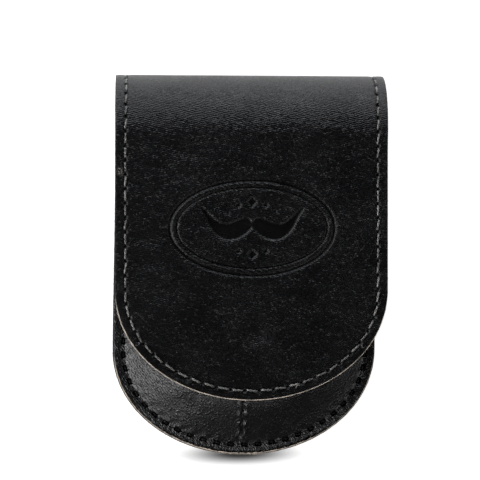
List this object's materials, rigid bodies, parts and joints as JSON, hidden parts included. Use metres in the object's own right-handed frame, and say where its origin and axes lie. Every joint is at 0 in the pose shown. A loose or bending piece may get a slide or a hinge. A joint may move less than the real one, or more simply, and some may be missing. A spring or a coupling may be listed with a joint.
{
  "type": "beard brush pouch",
  "caption": "Stitched leather pouch with rounded ends, a fold-over flap on a hidden magnetic snap, and an oval beard brush inside.",
  "frame": {"origin": "middle of the back face, under the middle of the outline", "axes": "+Z out of the front (flap) side, +Y from the rounded bottom to the fold, +X right seen from the front"},
  "size_m": [0.076, 0.109, 0.028],
  "materials": {
    "leather": "semi-matte pebbled",
    "lining": "matte suede",
    "thread": "waxed thread",
    "nickel": "satin nickel plate",
    "magnet": "matte ferrite",
    "wood": "oiled beech",
    "wire": "flat wire",
    "bristle": "boar bristle"
  },
  "bodies": {
    "pouch": {"back_panel": "leather", "back_lining": "lining", "front_panel": "leather", "front_lining": "lining", "front_seam_stitches": "thread", "back_seam_stitches": "thread", "mouth_stitches": "thread", "tack_stitches": "thread", "snap_cup": "nickel", "snap_magnet": "magnet", "snap_front_washer": "nickel"},
    "spine": {"spine_panel": "leather", "spine_lining": "lining", "spine_stitches": "thread"},
    "flap": {"flap_panel": "leather", "flap_lining": "lining", "flap_stitches": "thread", "snap_plate": "nickel", "snap_flap_washer": "nickel"},
    "brush": {"brush_block": "wood", "tuft_anchors": "wire", "bristle_row_1": "bristle", "bristle_row_2": "bristle", "bristle_row_3": "bristle", "bristle_row_4": "bristle", "bristle_row_5": "bristle", "bristle_row_6": "bristle", "bristle_row_7": "bristle"}
  },
  "joints": [
    {"name": "fold_back", "type": "hinge", "parent": "pouch", "child": "spine", "pos_m": [0, 0.05157, 0.00293], "axis": [-1, 0, 0], "range_deg": [0, 90]},
    {"name": "fold_front", "type": "hinge", "parent": "spine", "child": "flap", "pos_m": [0, 0.04923, 0.02273], "axis": [-1, 0, 0], "range_deg": [0, 90]},
    {"name": "brush_slide", "type": "slide", "parent": "pouch", "child": "brush", "axis": [0, 1, 0], "range_m": [0, 0.006]}
  ],
  "couplings": [
    {"joint": "fold_front", "follows": "fold_back", "ratio": 1}
  ]
}
